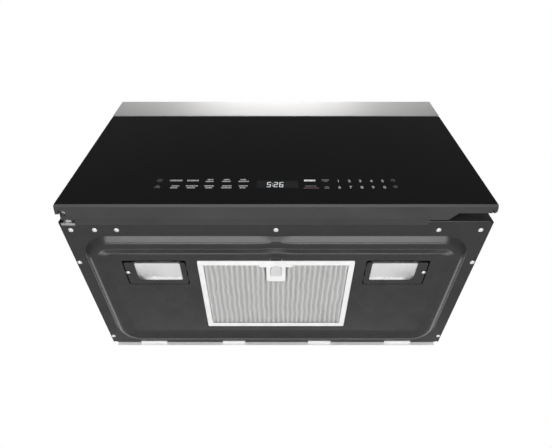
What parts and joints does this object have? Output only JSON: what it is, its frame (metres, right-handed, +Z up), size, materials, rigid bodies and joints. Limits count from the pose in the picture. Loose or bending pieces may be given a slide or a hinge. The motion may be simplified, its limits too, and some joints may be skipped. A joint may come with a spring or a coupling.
{
  "type": "over the range microwave",
  "caption": "Over the range microwave with a full width glass door, hidden touch controls, a vent blower, a drop down grease filter and two cooktop lamps, hung from a wall plate.",
  "frame": {"origin": "on the wall face, in the middle of the mounting plate, level with the underside of the base pan's rim", "axes": "+X to the right as the cook sees it, +Y back into the wall, +Z up"},
  "size_m": [0.759, 0.406, 0.4345],
  "materials": {
    "case_paint": "satin dark grey paint on sheet steel",
    "galvanised_steel": "matt galvanised sheet with a faint spangle",
    "charcoal_enamel": "fine textured charcoal paint",
    "oven_enamel": "smooth light grey enamel",
    "mica": "pale brown mica sheet",
    "ceramic_white": "unglazed white ceramic",
    "core_steel": "varnished laminated steel",
    "can_aluminium": "drawn aluminium can",
    "black_plastic": "black moulded plastic, satin",
    "circuit_board": "green circuit board",
    "stainless_steel": "stainless steel brushed along its length",
    "charcoal_media": "black granular charcoal in a plastic grid",
    "zinc_plate": "bright zinc plate",
    "white_plastic": "white moulded plastic",
    "inlet_rubber": "black rubber bushing",
    "black_glass": "polished glass with a black printed back",
    "clear_glass": "clear heat proof glass",
    "lamp_glass": "frosted lens glass",
    "filter_aluminium": "satin aluminium sheet and expanded mesh",
    "filter_plastic": "light grey moulded plastic"
  },
  "bodies": {
    "cabinet": {"outer_case": "case_paint", "rear_panel": "galvanised_steel", "wall_mounting_plate": "galvanised_steel", "base_pan": "charcoal_enamel", "front_frame": "oven_enamel", "cavity_liner": "oven_enamel", "waveguide_cover": "mica", "cavity_lamp": "ceramic_white", "waveguide": "galvanised_steel", "magnetron": "galvanised_steel", "high_voltage_transformer": "core_steel", "high_voltage_capacitor": "can_aluminium", "high_voltage_diode": "black_plastic", "cooling_fan_housing": "galvanised_steel", "cooling_fan_motor": "core_steel", "control_board": "circuit_board", "noise_filter_board": "circuit_board", "thermal_cutouts": "ceramic_white", "turntable_motor": "galvanised_steel", "vent_blower_housing": "galvanised_steel", "vent_blower_motor": "core_steel", "top_grille": "stainless_steel", "charcoal_filter": "charcoal_media", "lamp_modules": "galvanised_steel", "case_screws": "zinc_plate", "lower_hinge_bracket": "zinc_plate", "upper_hinge_bracket": "zinc_plate", "hinge_pins": "zinc_plate", "latch_board": "white_plastic", "interlock_switches": "black_plastic", "power_inlet_bushing": "inlet_rubber", "chassis_base_plate": "galvanised_steel"},
    "door": {"door_glass": "black_glass", "door_frame": "black_plastic", "door_inner_panel": "oven_enamel", "choke_cover": "black_plastic", "door_window": "clear_glass", "touch_board": "circuit_board", "display_module": "black_plastic", "latch_spring": "zinc_plate"},
    "door_latch": {"door_latch_lever": "white_plastic"},
    "turntable": {"drive_coupler": "white_plastic", "glass_tray": "clear_glass"},
    "roller_ring": {"roller_ring": "white_plastic"},
    "roller_wheel_1": {"roller_wheel_1": "white_plastic"},
    "roller_wheel_2": {"roller_wheel_2": "white_plastic"},
    "roller_wheel_3": {"roller_wheel_3": "white_plastic"},
    "vent_rotor": {"vent_blower_shaft": "zinc_plate", "vent_blower_wheel_left": "galvanised_steel", "vent_blower_wheel_right": "galvanised_steel"},
    "fan_rotor": {"cooling_fan_blade": "white_plastic"},
    "grease_filter": {"grease_filter_frame": "filter_aluminium", "grease_filter_mesh": "filter_aluminium"},
    "filter_latch": {"grease_filter_latch": "filter_plastic"},
    "lamp_door_left": {"lamp_cover_left": "charcoal_enamel", "lamp_lens_left": "lamp_glass", "lamp_screw_left": "zinc_plate"},
    "lamp_door_right": {"lamp_cover_right": "charcoal_enamel", "lamp_lens_right": "lamp_glass", "lamp_screw_right": "zinc_plate"}
  },
  "joints": [
    {"name": "door_swing", "type": "hinge", "parent": "cabinet", "child": "door", "pos_m": [-0.366, -0.3905, 0.17], "axis": [0, 0, -1], "range_deg": [0, 100]},
    {"name": "door_latch_lift", "type": "slide", "parent": "door", "child": "door_latch", "axis": [0, 0, 1], "range_m": [0, 0.005], "stiffness_N_per_m": 400, "springref_m": -0.004, "deforming": ["latch_spring"]},
    {"name": "turntable_spin", "type": "hinge", "parent": "cabinet", "child": "turntable", "pos_m": [-0.083, -0.2018, 0.066], "axis": [0, 0, 1], "continuous": true},
    {"name": "roller_ring_spin", "type": "hinge", "parent": "cabinet", "child": "roller_ring", "pos_m": [-0.083, -0.2018, 0.0663], "axis": [0, 0, 1], "continuous": true},
    {"name": "roller_wheel_1_spin", "type": "hinge", "parent": "roller_ring", "child": "roller_wheel_1", "pos_m": [-0.083, -0.0968, 0.0663], "axis": [0, 1, 0], "continuous": true},
    {"name": "roller_wheel_2_spin", "type": "hinge", "parent": "roller_ring", "child": "roller_wheel_2", "pos_m": [-0.17393, -0.2543, 0.0663], "axis": [-0.866, -0.5, 0], "continuous": true},
    {"name": "roller_wheel_3_spin", "type": "hinge", "parent": "roller_ring", "child": "roller_wheel_3", "pos_m": [0.00793, -0.2543, 0.0663], "axis": [0.866, -0.5, 0], "continuous": true},
    {"name": "vent_rotor_spin", "type": "hinge", "parent": "cabinet", "child": "vent_rotor", "pos_m": [0, -0.066, 0.358], "axis": [1, 0, 0], "continuous": true},
    {"name": "fan_rotor_spin", "type": "hinge", "parent": "cabinet", "child": "fan_rotor", "pos_m": [0.285, -0.036, 0.215], "axis": [0, 1, 0], "continuous": true},
    {"name": "grease_filter_drop", "type": "hinge", "parent": "cabinet", "child": "grease_filter", "pos_m": [0, -0.0763, -0.0075], "axis": [1, 0, 0], "range_deg": [0, 60]},
    {"name": "filter_latch_slide", "type": "slide", "parent": "grease_filter", "child": "filter_latch", "axis": [0, 1, 0], "range_m": [0, 0.004], "stiffness_N_per_m": 400, "springref_m": -0.003},
    {"name": "lamp_door_left_drop", "type": "hinge", "parent": "cabinet", "child": "lamp_door_left", "pos_m": [-0.1715, -0.2475, -0.006], "axis": [0, -1, 0], "range_deg": [0, 75]},
    {"name": "lamp_door_right_drop", "type": "hinge", "parent": "cabinet", "child": "lamp_door_right", "pos_m": [0.1715, -0.2475, -0.006], "axis": [0, 1, 0], "range_deg": [0, 75]}
  ],
  "couplings": [
    {"joint": "roller_ring_spin", "follows": "turntable_spin", "ratio": 0.5},
    {"joint": "roller_wheel_1_spin", "follows": "turntable_spin", "ratio": -8.75},
    {"joint": "roller_wheel_2_spin", "follows": "turntable_spin", "ratio": -8.75},
    {"joint": "roller_wheel_3_spin", "follows": "turntable_spin", "ratio": -8.75}
  ]
}
